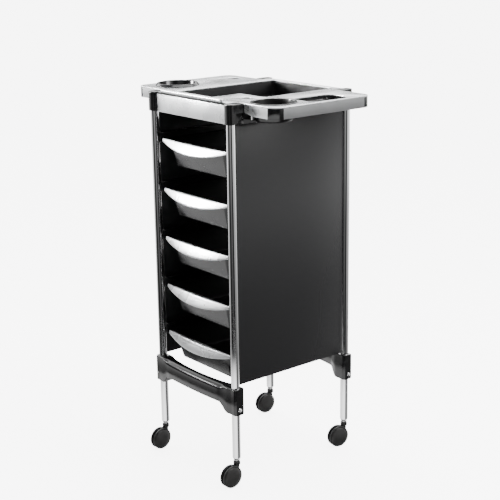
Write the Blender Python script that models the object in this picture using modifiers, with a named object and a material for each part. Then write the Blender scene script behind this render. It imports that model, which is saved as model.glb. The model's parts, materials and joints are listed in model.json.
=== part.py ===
"""Salon trolley cart: five sliding trays in a chrome tube frame on twin-wheel casters.

Metres, +Z up. The origin is on the floor under the middle of the trolley's whole
footprint, and the tray handles face -Y. Pieces are modelled about the middle of the four
posts, and FRAME_Y moves the assembly back by half the overhang of the trailing casters.
"""
import math

import bmesh
import bpy
from mathutils import Matrix, Vector

# ---------------------------------------------------------------- driving dimensions
POST_X = 0.140            # post centres, left and right of the middle
POST_Y = 0.168            # post centres, in front of and behind the middle
TUBE_R = 0.0095           # 19 mm tube
TUBE_WALL = 0.001
GAP = 0.0003              # clearance between pieces that touch
WALL = 0.0022             # thin plastic walls

FOOT_Z = 0.068            # lower end of the tubes
POST_TOP = 0.869          # upper end of the tubes, inside the corner blocks
PLUG_TOP = 0.094          # upper end of the plug in a tube's foot
RAIL_LOW, RAIL_HIGH = 0.1755, 0.2375
ARCH_Z = 0.1965           # underside of a rail between its sockets
SOCKET_IN, SOCKET_OUT = 0.1255, 0.1548
PANEL_LOW, PANEL_HIGH = 0.2423, 0.830
PANEL_IN, PANEL_OUT = 0.1385, 0.1425
PANEL_Y = 0.1575
RIDGE_IN, RIDGE_T = 0.1268, 0.0026
DECK_Z = 0.877
DECK_T = 0.003
LIP_X, LIP_Z = 0.1125, 0.8845

BODY_X = 0.1525           # half width of the top frame, without the wings
BODY_Y = 0.1805           # half depth of the top frame
BAND_Y, BAND_T = 0.1705, 0.0030    # the fascias, set back between the corner blocks
BAND_LOW, BAND_HIGH = 0.8320, 0.8727
BLOCK_LOW = 0.8335
BLOCK_X = 0.1275          # inner side of a corner block
BLOCK_Y = 0.1427          # end of a corner block along the side
BLOCK_R = 0.011           # a corner block is rounded round its post
WING_X = 0.252            # outer side of a wing
WING_Y = 0.140            # front and back of a wing
WING_R = 0.024
WING_LOW = 0.851
SKIRT = 0.0025

TRAY_COUNT = 5
TRAY_TOP = 0.7675         # rim of the uppermost tray
TRAY_PITCH = 0.1161
TRAY_X = 0.1262           # half width of a tub at its rim
TRAY_FLANGE = 0.0034      # rim that runs between the guide ridges
TRAY_LIP = 0.0060         # height of that rim's turned-down edge
RIDGE_RISE = 0.0130       # free height over a rim, below its upper ridge
TRAY_FRONT, TRAY_BACK = -0.157, 0.146
TRAY_DEPTH = 0.064
HANDLE_X = 0.117

WHEEL_R = 0.0260
WHEEL_IN, WHEEL_OUT = 0.0030, 0.0118
CASTER_TRAIL = 0.0175
NECK_Z = 0.060
WEB = 0.0025              # half thickness of the plate between the wheels
NECK = 0.0062             # half width of the neck round the stem
AXLE_R = 0.003
STEM_R = 0.0040
STEM_LOW, STEM_TOP = 0.0528, 0.093

SIDES = {"left": -1, "right": 1}
ENDS = {"front": -1, "rear": 1}
CORNER_YAW = {"front_left": 4, "front_right": 0, "rear_left": -3, "rear_right": -10}
FRAME_Y = 0.0106          # middle of the posts, behind the origin

# ---------------------------------------------------------------- scene and materials
for old in list(bpy.data.objects):
    bpy.data.objects.remove(old, do_unlink=True)


def collection(name):
    group = bpy.data.collections.new(name)
    bpy.context.scene.collection.children.link(group)
    return group


PARTS = collection("salon_trolley")


def material(name, colour, roughness, metallic=0.0):
    mat = bpy.data.materials.new(name)
    mat.use_nodes = True
    shader = mat.node_tree.nodes["Principled BSDF"]
    shader.inputs["Base Color"].default_value = (*colour, 1.0)
    shader.inputs["Roughness"].default_value = roughness
    shader.inputs["Metallic"].default_value = metallic
    return mat


LOOKS = {
    "silver": ((0.62, 0.63, 0.64), 0.32, 0.6),
    "black": ((0.012, 0.012, 0.013), 0.18, 0.0),
    "panel": ((0.022, 0.022, 0.023), 0.30, 0.0),
    "chrome": ((0.80, 0.80, 0.81), 0.08, 1.0),
    "steel": ((0.55, 0.55, 0.56), 0.25, 1.0),
    "tread": ((0.040, 0.039, 0.038), 0.45, 0.0),
}


# ---------------------------------------------------------------- shape helpers
def finish(obj, look):
    """Give a finished object its own material and put it with the parts."""
    for group in list(obj.users_collection):
        group.objects.unlink(obj)
    PARTS.objects.link(obj)
    obj.data.materials.clear()
    obj.data.materials.append(material(obj.name, *LOOKS[look]))
    obj.data.shade_smooth()
    obj.data.set_sharp_from_angle(angle=math.radians(35))


def from_bmesh(name, mesh_data):
    bmesh.ops.recalc_face_normals(mesh_data, faces=mesh_data.faces)
    mesh = bpy.data.meshes.new(name)
    mesh_data.to_mesh(mesh)
    mesh_data.free()
    obj = bpy.data.objects.new(name, mesh)
    bpy.context.scene.collection.objects.link(obj)
    return obj


def box(name, low, high):
    size = Vector(high) - Vector(low)
    centre = (Vector(high) + Vector(low)) / 2
    data = bmesh.new()
    bmesh.ops.create_cube(data, size=1.0)
    bmesh.ops.scale(data, vec=size, verts=data.verts)
    bmesh.ops.translate(data, vec=centre, verts=data.verts)
    return from_bmesh(name, data)


def cylinder(name, centre, radius, length, axis="Z", sides=24):
    data = bmesh.new()
    bmesh.ops.create_cone(data, cap_ends=True, segments=sides, radius1=radius,
                          radius2=radius, depth=length)
    if axis == "X":
        bmesh.ops.rotate(data, matrix=Matrix.Rotation(math.pi / 2, 3, "Y"), verts=data.verts)
    bmesh.ops.translate(data, vec=Vector(centre), verts=data.verts)
    return from_bmesh(name, data)


def rounded(corners, steps=3):
    """Outline through (x, y, radius) corners, with an arc at each corner that has a radius."""
    outline = []
    count = len(corners)
    for i, (x, y, radius) in enumerate(corners):
        here = Vector((x, y))
        if radius == 0:
            outline.append(here)
            continue
        before = (Vector(corners[i - 1][:2]) - here).normalized()
        after = (Vector(corners[(i + 1) % count][:2]) - here).normalized()
        half = before.angle(after) / 2
        reach = radius / math.tan(half)
        centre = here + (before + after).normalized() * radius / math.sin(half)
        start = here + before * reach - centre
        turn = start.angle_signed(here + after * reach - centre)
        for k in range(steps + 1):
            arm = Matrix.Rotation(-turn * k / steps, 2) @ start
            outline.append(centre + arm)
    return outline


def circle(x, y, radius, steps=32):
    return [Vector((x + radius * math.cos(2 * math.pi * k / steps),
                    y + radius * math.sin(2 * math.pi * k / steps))) for k in range(steps)]


def plate(name, outline, low, high):
    """Flat outline extruded upright from low to high."""
    curve = bpy.data.curves.new(name, "CURVE")
    curve.dimensions = "2D"
    curve.fill_mode = "BOTH"
    curve.extrude = (high - low) / 2
    spline = curve.splines.new("POLY")
    spline.points.add(len(outline) - 1)
    for point, corner in zip(spline.points, outline):
        point.co = (corner[0], corner[1], 0.0, 1.0)
    spline.use_cyclic_u = True
    drawn = bpy.data.objects.new(name + "_outline", curve)
    bpy.context.scene.collection.objects.link(drawn)
    bpy.context.view_layer.update()
    mesh = bpy.data.meshes.new_from_object(drawn.evaluated_get(bpy.context.evaluated_depsgraph_get()))
    bpy.data.objects.remove(drawn, do_unlink=True)
    data = bmesh.new()
    data.from_mesh(mesh)
    bpy.data.meshes.remove(mesh)
    bmesh.ops.remove_doubles(data, verts=data.verts, dist=1e-6)
    bmesh.ops.dissolve_limit(data, angle_limit=math.radians(1), verts=data.verts, edges=data.edges)
    bmesh.ops.translate(data, vec=(0, 0, (low + high) / 2), verts=data.verts)
    return from_bmesh(name, data)


def turned(name, profile, steps=24, axis="Z"):
    """Profile of (radius, height) points turned about an axis, closed where it meets it."""
    data = bmesh.new()
    verts = [data.verts.new((radius, 0.0, height)) for radius, height in profile]
    for a, b in zip(verts, verts[1:]):
        if max(a.co.x, b.co.x) > 0:
            data.edges.new((a, b))
    if min(profile[0][0], profile[-1][0]) > 0:
        data.edges.new((verts[-1], verts[0]))
    mesh = bpy.data.meshes.new(name)
    data.to_mesh(mesh)
    data.free()
    obj = bpy.data.objects.new(name, mesh)
    bpy.context.scene.collection.objects.link(obj)
    screw = obj.modifiers.new("turn", "SCREW")
    screw.steps = screw.render_steps = steps
    screw.use_merge_vertices = True
    screw.merge_threshold = 1e-5
    apply(obj)
    data = bmesh.new()
    data.from_mesh(obj.data)
    if axis == "X":
        bmesh.ops.rotate(data, matrix=Matrix.Rotation(math.pi / 2, 3, "Y"), verts=data.verts)
    bmesh.ops.recalc_face_normals(data, faces=data.faces)
    data.to_mesh(obj.data)
    data.free()
    return obj


def loft(name, sections):
    """Closed body through rings of equal point counts, with a flat cap at each end."""
    data = bmesh.new()
    rings = [[data.verts.new(point) for point in section] for section in sections]
    for near, far in zip(rings, rings[1:]):
        for i in range(len(near)):
            j = (i + 1) % len(near)
            data.faces.new((near[i], near[j], far[j], far[i]))
    data.faces.new(rings[0][::-1])
    data.faces.new(rings[-1])
    return from_bmesh(name, data)


def apply(obj):
    """Bake an object's modifiers into its mesh."""
    bpy.context.view_layer.update()
    graph = bpy.context.evaluated_depsgraph_get()
    mesh = bpy.data.meshes.new_from_object(obj.evaluated_get(graph))
    obj.modifiers.clear()
    obj.data = mesh


def combine(obj, other, operation, solver="EXACT"):
    """Boolean with another object, which is used up."""
    step = obj.modifiers.new(operation, "BOOLEAN")
    step.operation = operation
    step.solver = solver
    step.object = other
    apply(obj)
    bpy.data.objects.remove(other, do_unlink=True)


def cut(obj, *cutters, solver="EXACT"):
    for cutter in cutters:
        combine(obj, cutter, "DIFFERENCE", solver)


def join(obj, *others):
    for other in others:
        combine(obj, other, "UNION")


def bevel(obj, width, segments=1, angle=40):
    edge = obj.modifiers.new("edges", "BEVEL")
    edge.width = width
    edge.segments = segments
    edge.limit_method = "ANGLE"
    edge.angle_limit = math.radians(angle)
    apply(obj)


def mirror(obj, x_sign, y_sign=1):
    """Mirror a piece about the middle planes where a sign is -1."""
    obj.data.transform(Matrix.Diagonal((x_sign, y_sign, 1, 1)))
    if x_sign * y_sign < 0:
        obj.data.flip_normals()


def smoothstep(value, low, high):
    t = min(max((value - low) / (high - low), 0.0), 1.0)
    return t * t * (3 - 2 * t)


# ---------------------------------------------------------------- tube frame
def post(name, x, y):
    inner = TUBE_R - TUBE_WALL
    tube = turned(name, [(TUBE_R, POST_TOP), (TUBE_R, FOOT_Z), (inner, FOOT_Z), (inner, POST_TOP)], 20)
    tube.location = (x, y, 0)
    finish(tube, "chrome")


def ferrule(name, x, y):
    """Plug in the tube's foot, with the ring that the caster turns against."""
    ring, lip = 0.0070, 0.0086
    plug = TUBE_R - TUBE_WALL - GAP
    bore = STEM_R + GAP
    seat, base = FOOT_Z - GAP, NECK_Z + 0.0005
    profile = [(plug, PLUG_TOP), (plug, seat), (lip, seat), (lip, seat - 0.0012),
               (ring, seat - 0.0022), (ring, base), (bore, base), (bore, PLUG_TOP)]
    piece = turned(name, profile, 20)
    piece.location = (x, y, 0)
    finish(piece, "steel")


def bottom_rail(name, end):
    """Bowed cross rail with a socket for a post at each end."""
    half = 8
    inner = [SOCKET_IN * k / half for k in range(half + 1)]
    stations = inner + [0.1275, 0.150, 0.1533, SOCKET_OUT]
    sections = []
    for x in [-s for s in stations[:0:-1]] + stations:
        far = abs(x)
        bow = 0.0065 * (1 - (min(far, POST_X) / POST_X) ** 2)
        corner = 0.004 * smoothstep(far, 0.150, SOCKET_OUT)
        front = -0.1828 - bow + corner + 0.002 * smoothstep(far, 0.09, SOCKET_IN)
        back = -0.169 + 0.010 * (far / 0.11) ** 2 if far < 0.11 else -0.159
        back = back + (-0.1535 - back) * smoothstep(far, 0.10, SOCKET_IN) - corner
        low = ARCH_Z - (ARCH_Z - RAIL_LOW) * smoothstep(far, 0.098, SOCKET_IN)
        scoop = 0.011 * (1 - 0.6 * smoothstep(far, 0.10, SOCKET_IN))
        ring = [(front, low + 0.002), (front, RAIL_HIGH - scoop),
                (front + 0.003, RAIL_HIGH - 0.35 * scoop), (front + 0.008, RAIL_HIGH),
                (back - 0.001, RAIL_HIGH), (back, RAIL_HIGH - 0.002),
                (back, low + 0.002), (back - 0.002, low), (front + 0.003, low)]
        sections.append([(x, -end * y, z) for y, z in ring])
    rail = loft(name, sections)
    reach = RAIL_HIGH - RAIL_LOW + 0.02
    middle = (RAIL_HIGH + RAIL_LOW) / 2
    for side in SIDES.values():
        cut(rail, cylinder("post_bore", (side * POST_X, end * POST_Y, middle), TUBE_R + 0.0004, reach,
                           sides=20))
    finish(rail, "black")


def socket_screw(name, side, end):
    """Screw head on the outer side of a socket."""
    head, thick = 0.0048, 0.0022
    profile = [(0.0, thick), (head * 0.6, thick * 0.86), (head, thick * 0.3), (head, 0.0), (0.0, 0.0)]
    screw = turned(name, profile, 16, axis="X")
    mirror(screw, side)
    screw.location = (side * (SOCKET_OUT + GAP), end * POST_Y, RAIL_LOW + 0.012)
    finish(screw, "steel")


def side_panel(name, side):
    """Panel between two posts, with two guide ridges for each tray and a stop behind them."""
    front, back, root = -0.150, 0.153, PANEL_IN + 0.001
    panel = box(name, (PANEL_IN, -PANEL_Y, PANEL_LOW), (PANEL_OUT, PANEL_Y, PANEL_HIGH))
    bevel(panel, 0.001)
    for level in range(TRAY_COUNT):
        rim = TRAY_TOP - level * TRAY_PITCH
        above, below = rim + RIDGE_RISE, rim - TRAY_LIP - 0.0008
        upper = box("ridge", (RIDGE_IN, front, above), (root, back, above + RIDGE_T))
        lower = box("ridge", (RIDGE_IN, front, below - RIDGE_T), (root, back, below))
        stop = box("stop", (RIDGE_IN + 0.0004, back - 0.0025, below - 0.0005),
                   (root, back - 0.0004, above + 0.0005))
        join(panel, upper, lower, stop)
    mirror(panel, side)
    finish(panel, "panel")


# ---------------------------------------------------------------- top
BASIN = [(-0.100, -0.160, 0.012), (0.030, -0.160, 0.010), (0.030, -0.051, 0.006),
         (0.112, -0.051, 0.010), (0.112, 0.154, 0.012), (-0.100, 0.154, 0.012)]
CUP = (0.185, -0.086, 0.0475)
DRYER = (-0.187, -0.068, 0.0480)
DISH = [(0.171, -0.026, 0.020), (0.243, -0.026, 0.020), (0.243, 0.084, 0.024), (0.171, 0.084, 0.024)]
COMB_HOLES = [(0.094, -0.086, 0.011), (-0.186, 0.104, 0.014)]


def grow(corners, by):
    """Move an anticlockwise outline's sides outwards, and its corner arcs with them."""
    moved = []
    count = len(corners)
    for i, (x, y, radius) in enumerate(corners):
        here = Vector((x, y))
        before = (here - Vector(corners[i - 1][:2])).normalized()
        after = (Vector(corners[(i + 1) % count][:2]) - here).normalized()
        outwards = Vector((before.y, -before.x)) + Vector((after.y, -after.x))
        shift = outwards * by / (1 + before.dot(after))
        convex = before.cross(after) > 0
        moved.append((x + shift.x, y + shift.y, max(radius + (by if convex else -by), 0.001)))
    return moved


def top_deck():
    """Silver top with a skirted wing on each side, open for the basin, cup, dish and dryer ring."""
    edge_y = BAND_Y - BAND_T - GAP
    block_x, block_y = BLOCK_X - GAP, BLOCK_Y - GAP
    quarter = [(block_x, edge_y, 0), (block_x, block_y, 0), (0.148, block_y, 0),
               (0.1505, WING_Y, 0), (WING_X, WING_Y, WING_R)]
    front = [(x, -y, r) for x, y, r in quarter]
    back = [(x, y, r) for x, y, r in quarter[::-1]]
    right = front + back
    left = [(-x, -y, r) for x, y, r in right]
    deck = plate("top_deck", rounded(right + left, 5), WING_LOW, DECK_Z)
    under = DECK_Z - DECK_T
    below = WING_LOW - 0.01
    pocket_x, pocket_y, pocket_r = WING_X - SKIRT, WING_Y - SKIRT, WING_R - SKIRT
    far_y = BODY_Y + 0.02
    pocket = [(BODY_X, -far_y, 0), (BODY_X, -pocket_y, 0), (pocket_x, -pocket_y, pocket_r),
              (pocket_x, pocket_y, pocket_r), (BODY_X, pocket_y, 0), (BODY_X, far_y, 0)]
    pocket += [(-x, -y, r) for x, y, r in pocket]
    cut(deck, plate("pocket", rounded(pocket, 5), below, under), solver="MANIFOLD")
    low, high = under - 0.01, DECK_Z + 0.01
    holes = [rounded(BASIN), rounded(DISH)]
    holes += [circle(x, y, radius) for x, y, radius in (CUP, DRYER)]
    holes += [circle(x, y, radius, 16) for x, y, radius in COMB_HOLES]
    for hole in holes:
        cut(deck, plate("hole", hole, low, high), solver="MANIFOLD")
    finish(deck, "silver")


def basin():
    """L-shaped tub with a flange that hangs under the deck."""
    top = DECK_Z - DECK_T - GAP
    floor = 0.8345
    tub = plate("basin", rounded(grow(BASIN, WALL)), floor, top)
    join(tub, plate("flange", rounded(grow(BASIN, 0.006)), top - 0.002, top))
    cut(tub, plate("hollow", rounded(BASIN), floor + WALL, top + 0.01))
    finish(tub, "black")


def corner_block(name, side, end):
    """Corner piece over a post, with its lower edge swept up along the side."""
    corners = [(BLOCK_X, BLOCK_Y, 0.0015), (BODY_X, BLOCK_Y, 0.0025),
               (BODY_X, BODY_Y, BLOCK_R), (BLOCK_X, BODY_Y, BLOCK_R)]
    low = BLOCK_LOW
    block = plate(name, rounded(corners, 4), low, DECK_Z)
    under = low - 0.002
    curve = [(0.1615, under), (0.1545, 0.8415), (0.1465, 0.8475), (0.138, 0.8535), (0.138, under)]
    sweep = [[(x, y, z) for y, z in curve] for x in (BLOCK_X - 0.01, BODY_X + 0.01)]
    cut(block, loft("sweep", sweep))
    bore_top = POST_TOP + 0.0005
    cut(block, cylinder("post_bore", (POST_X, POST_Y, low), TUBE_R + 0.0004, 2 * (bore_top - low),
                        sides=20))
    mirror(block, side, end)
    finish(block, "black")


def band(name, end):
    """Silver fascia between two corner blocks."""
    half = BLOCK_X - GAP
    piece = box(name, (-half, BAND_Y - BAND_T, BAND_LOW), (half, BAND_Y, BAND_HIGH))
    bevel(piece, 0.0008)
    mirror(piece, 1, end)
    finish(piece, "silver")


def front_lip():
    """Raised bar with round ends, along the front of the deck and a little ahead of the fascia."""
    low, high, end_r = -0.1715, -0.1606, 0.005
    corners = [(-LIP_X, low, end_r), (LIP_X, low, end_r), (LIP_X, high, end_r), (-LIP_X, high, end_r)]
    lip = plate("front_lip", rounded(corners), DECK_Z + GAP, LIP_Z)
    bevel(lip, 0.0016, 2, 60)
    finish(lip, "silver")


def side_rail(name, side):
    """Rail under the deck between two corner blocks, notched where the round holders pass."""
    reach = BLOCK_Y - 0.001
    rail = box(name, (0.1437, -reach, BLOCK_LOW), (0.1512, reach, DECK_Z - DECK_T - GAP))
    mirror(rail, side)
    x, y, radius = CUP if side > 0 else DRYER
    cut(rail, cylinder("holder_notch", (x, y, 0.867), radius + 0.001, 0.060, sides=40))
    finish(rail, "black")


def round_cup():
    """Lift-out cup in the right wing."""
    x, y, hole = CUP
    rim, outer, foot, base = hole + 0.0030, hole - 0.0012, hole - 0.0050, 0.8380
    inner = outer - WALL
    edge = DECK_Z + GAP
    profile = [(0.0, base), (foot - 0.006, base), (foot - 0.0015, base + 0.002), (foot, base + 0.007),
               (outer, edge), (rim, edge), (rim, edge + 0.0014), (inner, edge + 0.0014),
               (foot - WALL, base + 0.007), (foot - 0.0075, base + WALL), (0.0, base + WALL)]
    cup = turned("round_cup", profile[::-1], 28)
    cup.location = (x, y, 0)
    finish(cup, "black")


def dryer_ring():
    """Funnel that holds a hair dryer by its nozzle, open underneath."""
    x, y, hole = DRYER
    rim, outer, foot = hole + 0.0035, hole - 0.0010, hole - 0.013
    edge, base = DECK_Z + GAP, 0.8400
    profile = [(foot, base), (outer, edge - 0.012), (outer, edge), (rim, edge), (rim, edge + 0.002),
               (rim - 0.002, edge + 0.006), (outer - WALL, edge + 0.006), (outer - WALL, edge - 0.011),
               (foot - WALL, base)]
    ring = turned("dryer_ring", profile[::-1], 28)
    ring.location = (x, y, 0)
    finish(ring, "black")


def tool_dish():
    """Shallow dish in the right wing with a deeper well and holes for brush tails."""
    floor, top = 0.862, DECK_Z - DECK_T - GAP
    well_x, well_y, well_r, well_base = 0.207, 0.026, 0.021, 0.841
    dish = plate("tool_dish", rounded(grow(DISH, WALL)), floor - WALL, top)
    join(dish, plate("flange", rounded(grow(DISH, 0.0045)), top - 0.002, top))
    outside = []
    for k in range(1, 4):
        angle = math.pi / 2 * k / 4
        outside.append((well_r * math.cos(angle), floor - (floor - well_base) * math.sin(angle)))
    outside.append((0.0, well_base))
    shell = turned("well", [(0.0, floor - 0.001), (well_r, floor - 0.001)] + outside, 18)
    shell.data.transform(Matrix.Translation((well_x, well_y, 0)))
    join(dish, shell)
    cut(dish, plate("hollow", rounded(DISH), floor, top + 0.01))
    inside = [(r * (1 - WALL / well_r), h + WALL) for r, h in outside]
    hollow = turned("well_hollow", [(0.0, floor + 0.004), (well_r - WALL, floor + 0.004)] + inside, 18)
    hollow.data.transform(Matrix.Translation((well_x, well_y, 0)))
    cut(dish, hollow)
    for y in (-0.007, well_y, 0.061):
        cut(dish, cylinder("tail_hole", (well_x, y, 0.85), 0.006, 0.05, sides=15))
    finish(dish, "black")


# ---------------------------------------------------------------- trays
def tray(level):
    """Tub with chamfered front corners and a rim flange that runs between the guide ridges."""
    rim = TRAY_TOP - (level - 1) * TRAY_PITCH
    chamfer, taper_x, taper_front, taper_back = 0.030, 0.013, 0.016, 0.006

    def outline(x, front, back, corner, height):
        half = [(x - corner, front), (x, front + 0.55 * corner), (x, back)]
        return [(px, py, height) for px, py in half + [(-px, py) for px, py in half[::-1]]]

    def inset(amount, height, corner):
        """Outline of the tub's outer face, moved inwards by some part of its taper."""
        return outline(TRAY_X - taper_x * amount, TRAY_FRONT + taper_front * amount,
                       TRAY_BACK - taper_back * amount, corner, height)

    def lining(amount, height, corner):
        points = inset(amount, height, corner)
        return [(x - math.copysign(WALL, x), y + (WALL if y < 0 else -WALL), z) for x, y, z in points]

    base = rim - TRAY_DEPTH
    edge = TRAY_FLANGE
    lip = [outline(TRAY_X + edge, TRAY_FRONT - edge, TRAY_BACK + edge, chamfer, z)
           for z in (rim, rim - TRAY_LIP)]
    inside = [lining(1.3, base + WALL, 0.021), lining(1.0, base + 0.007, 0.024), lining(0.0, rim, chamfer)]
    outside = [inset(0.0, rim - TRAY_LIP, chamfer), inset(1.0, base + 0.005, 0.024), inset(1.3, base, 0.021)]
    finish(loft("tray_%d" % level, inside + lip + outside), "black")


def handle(level):
    """Crescent pull on the front of a tray: deepest in the middle, bowed out at its lower edge."""
    top = TRAY_TOP - (level - 1) * TRAY_PITCH + 0.0035
    seat = TRAY_FRONT - TRAY_FLANGE - GAP
    steps = 10
    sections = []
    for k in range(steps + 1):
        u = 2 * k / steps - 1
        full = 1 - u * u
        deep = 0.0075 + 0.0165 * full
        out = seat - 0.0035 - 0.0065 * full
        low_out = out - 0.0075 * full - 0.001
        ring = [(seat, top - 0.0005), (out + 0.001, top), (out, top - 0.0012), (low_out, top - deep + 0.0015),
                (low_out + 0.0012, top - deep), (low_out + 0.0032, top - deep + 0.0008),
                (out + 0.0036, top - 0.0062), (seat, top - 0.0062)]
        sections.append([(HANDLE_X * u, y, z) for y, z in ring])
    finish(loft("handle_%d" % level, sections), "silver")


# ---------------------------------------------------------------- casters
def yawed(obj, x, y, yaw):
    """Place a piece that was made about the stem's axis."""
    obj.location = (x, y, 0)
    obj.rotation_euler = (0, 0, math.radians(yaw))


def caster(corner, x, y, yaw):
    """Twin-wheel caster: stem, fork plate, axle and two domed wheels."""
    trail = -CASTER_TRAIL
    hub = (0, trail, WHEEL_R)
    arm = WEB - 0.0001
    fork = cylinder("caster_fork_" + corner, hub, 0.0195, 2 * WEB, "X", 20)
    join(fork, box("arm", (-arm, trail, WHEEL_R + 0.004), (arm, NECK - 0.0004, 0.0525)))
    join(fork, box("neck", (-NECK, -NECK, 0.0505), (NECK, NECK, NECK_Z)))
    bore_depth = NECK_Z - STEM_LOW + 0.0004
    cut(fork, cylinder("stem_bore", (0, 0, NECK_Z), STEM_R + GAP, 2 * bore_depth, sides=20))
    cut(fork, cylinder("axle_bore", hub, AXLE_R + GAP, 0.03, "X", 16))
    yawed(fork, x, y, yaw)
    finish(fork, "black")
    profile = [(0.0, STEM_TOP), (STEM_R - 0.001, STEM_TOP), (STEM_R, STEM_TOP - 0.001),
               (STEM_R, STEM_LOW), (0.0, STEM_LOW)]
    stem = turned("caster_stem_" + corner, profile, 20)
    yawed(stem, x, y, yaw)
    finish(stem, "steel")
    axle = cylinder("caster_axle_" + corner, hub, AXLE_R, 0.017, "X", 16)
    yawed(axle, x, y, yaw)
    finish(axle, "steel")
    bore, tread = AXLE_R + GAP, 0.0048
    dome_r, dome_z = WHEEL_R - 0.0025, tread + 0.0004
    dome_t = WHEEL_OUT - WHEEL_IN - dome_z
    profile = [(0.0, 0.0065), (bore, 0.0065), (bore, 0.0), (WHEEL_R, 0.0), (WHEEL_R, tread - 0.001),
               (WHEEL_R - 0.0012, tread)]
    for angle in (math.pi / 6, math.pi / 3):
        profile.append((dome_r * math.cos(angle), dome_z + dome_t * math.sin(angle)))
    profile.append((0.0, dome_z + dome_t))
    for word, way in (("outer", 1), ("inner", -1)):
        wheel = turned("caster_wheel_%s_%s" % (corner, word), profile, 20, axis="X")
        mirror(wheel, way)
        wheel.data.transform(Matrix.Translation((way * WHEEL_IN, trail, WHEEL_R)))
        yawed(wheel, x, y, yaw)
        finish(wheel, "tread")


# ---------------------------------------------------------------- assembly
for side_name, side in SIDES.items():
    side_panel("side_panel_" + side_name, side)
    side_rail("side_rail_" + side_name, side)
for end_name, end in ENDS.items():
    bottom_rail("bottom_rail_" + end_name, end)
    band("top_band_" + end_name, end)
    for side_name, side in SIDES.items():
        corner = end_name + "_" + side_name
        x, y = side * POST_X, end * POST_Y
        post("post_" + corner, x, y)
        ferrule("leg_ferrule_" + corner, x, y)
        socket_screw("socket_screw_" + corner, side, end)
        corner_block("corner_block_" + corner, side, end)
        caster(corner, x, y, CORNER_YAW[corner])
top_deck()
basin()
front_lip()
round_cup()
dryer_ring()
tool_dish()
for level in range(1, TRAY_COUNT + 1):
    tray(level)
    handle(level)

origin = bpy.data.objects.new("posts_middle", None)
PARTS.objects.link(origin)
for piece in list(PARTS.objects):
    if piece is not origin:
        piece.parent = origin
origin.location = (0, FRAME_Y, 0)
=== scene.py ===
import json
import math

import bmesh
import bpy
from mathutils import Matrix, Vector


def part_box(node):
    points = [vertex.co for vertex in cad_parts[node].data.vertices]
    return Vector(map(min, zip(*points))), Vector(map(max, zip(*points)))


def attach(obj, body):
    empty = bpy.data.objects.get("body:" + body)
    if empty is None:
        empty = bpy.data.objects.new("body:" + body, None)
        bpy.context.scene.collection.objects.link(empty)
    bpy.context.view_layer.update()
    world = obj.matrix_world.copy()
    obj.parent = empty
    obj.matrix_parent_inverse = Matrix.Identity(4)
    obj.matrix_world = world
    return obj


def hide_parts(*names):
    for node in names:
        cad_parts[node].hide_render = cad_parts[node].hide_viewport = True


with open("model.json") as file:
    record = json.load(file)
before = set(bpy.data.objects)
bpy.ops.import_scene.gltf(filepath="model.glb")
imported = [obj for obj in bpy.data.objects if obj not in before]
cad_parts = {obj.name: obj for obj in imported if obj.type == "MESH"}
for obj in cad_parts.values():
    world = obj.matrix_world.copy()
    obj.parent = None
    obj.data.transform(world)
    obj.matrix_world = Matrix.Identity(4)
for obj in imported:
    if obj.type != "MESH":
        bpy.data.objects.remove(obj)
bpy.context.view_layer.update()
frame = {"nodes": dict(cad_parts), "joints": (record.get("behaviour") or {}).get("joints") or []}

NODES = frame["nodes"]


# ---------------------------------------------------------------- sizes
def middle(node):
    """Centre of a CAD node's box."""
    low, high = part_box(node)
    return (low + high) / 2


def span(node, axis):
    """Length of a CAD node's box along one axis."""
    low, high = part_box(node)
    return high[axis] - low[axis]


CORNERS = [end + "_" + side for end in ("front", "rear") for side in ("left", "right")]
SIGN = {"left": -1, "right": 1, "front": -1, "rear": 1}
TUBE_R = span("post_front_right", 0) / 2
POST_X = middle("post_front_right").x
POST_Y = (middle("post_rear_right").y - middle("post_front_right").y) / 2
MID_Y = (middle("post_rear_right").y + middle("post_front_right").y) / 2
RAIL_LOW, RAIL_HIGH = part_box("bottom_rail_front")[0].z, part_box("bottom_rail_front")[1].z
RAIL_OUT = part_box("bottom_rail_front")[1].x
WING_LOW, DECK_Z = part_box("top_deck")[0].z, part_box("top_deck")[1].z
WING_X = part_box("top_deck")[1].x
BODY_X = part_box("corner_block_front_right")[1].x
BLOCK_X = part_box("corner_block_front_right")[0].x
BODY_Y = MID_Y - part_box("corner_block_front_right")[0].y
BLOCK_Y = MID_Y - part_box("corner_block_front_right")[1].y
LEVELS = range(1, 6)          # trays, from the top
WING_Y, WING_R, BLOCK_R = 0.140, 0.024, 0.011
DECK_T, SKIRT, WALL = 0.003, 0.0025, 0.0022
TRAY_LIP = 0.0060             # height of a tray rim's turned-down edge
RIDGE_RISE = 0.0130           # free height over a rim, below its upper ridge
RIDGE_GAP = 0.0008            # gap between a rim's edge and its lower ridge
SEAM = 0.0003
BORE_R = TUBE_R + SEAM        # holes for the tubes
DRILL_OVER = 0.02             # how far a cutter runs past the faces it cuts

# Openings in the deck, about the posts' middle: outlines as (x, y, corner radius), holes as (x, y, radius).
BASIN = [(-0.100, -0.160, 0.012), (0.030, -0.160, 0.010), (0.030, -0.051, 0.006),
         (0.112, -0.051, 0.010), (0.112, 0.154, 0.012), (-0.100, 0.154, 0.012)]
DISH = [(0.171, -0.026, 0.020), (0.243, -0.026, 0.020), (0.243, 0.084, 0.024), (0.171, 0.084, 0.024)]
CUP = (0.185, -0.086, 0.0475)
DRYER = (-0.187, -0.068, 0.0480)
COMB_HOLES = [(0.094, -0.086, 0.011), (-0.186, 0.104, 0.014)]


# ---------------------------------------------------------------- materials
def shader_tree(name, colour, roughness, metallic):
    """New material with its Principled shader set."""
    mat = bpy.data.materials.new(name)
    mat.use_nodes = True
    tree = mat.node_tree
    shader = tree.nodes["Principled BSDF"]
    shader.inputs["Base Color"].default_value = (*colour, 1)
    shader.inputs["Roughness"].default_value = roughness
    shader.inputs["Metallic"].default_value = metallic
    return mat, tree, shader


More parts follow.
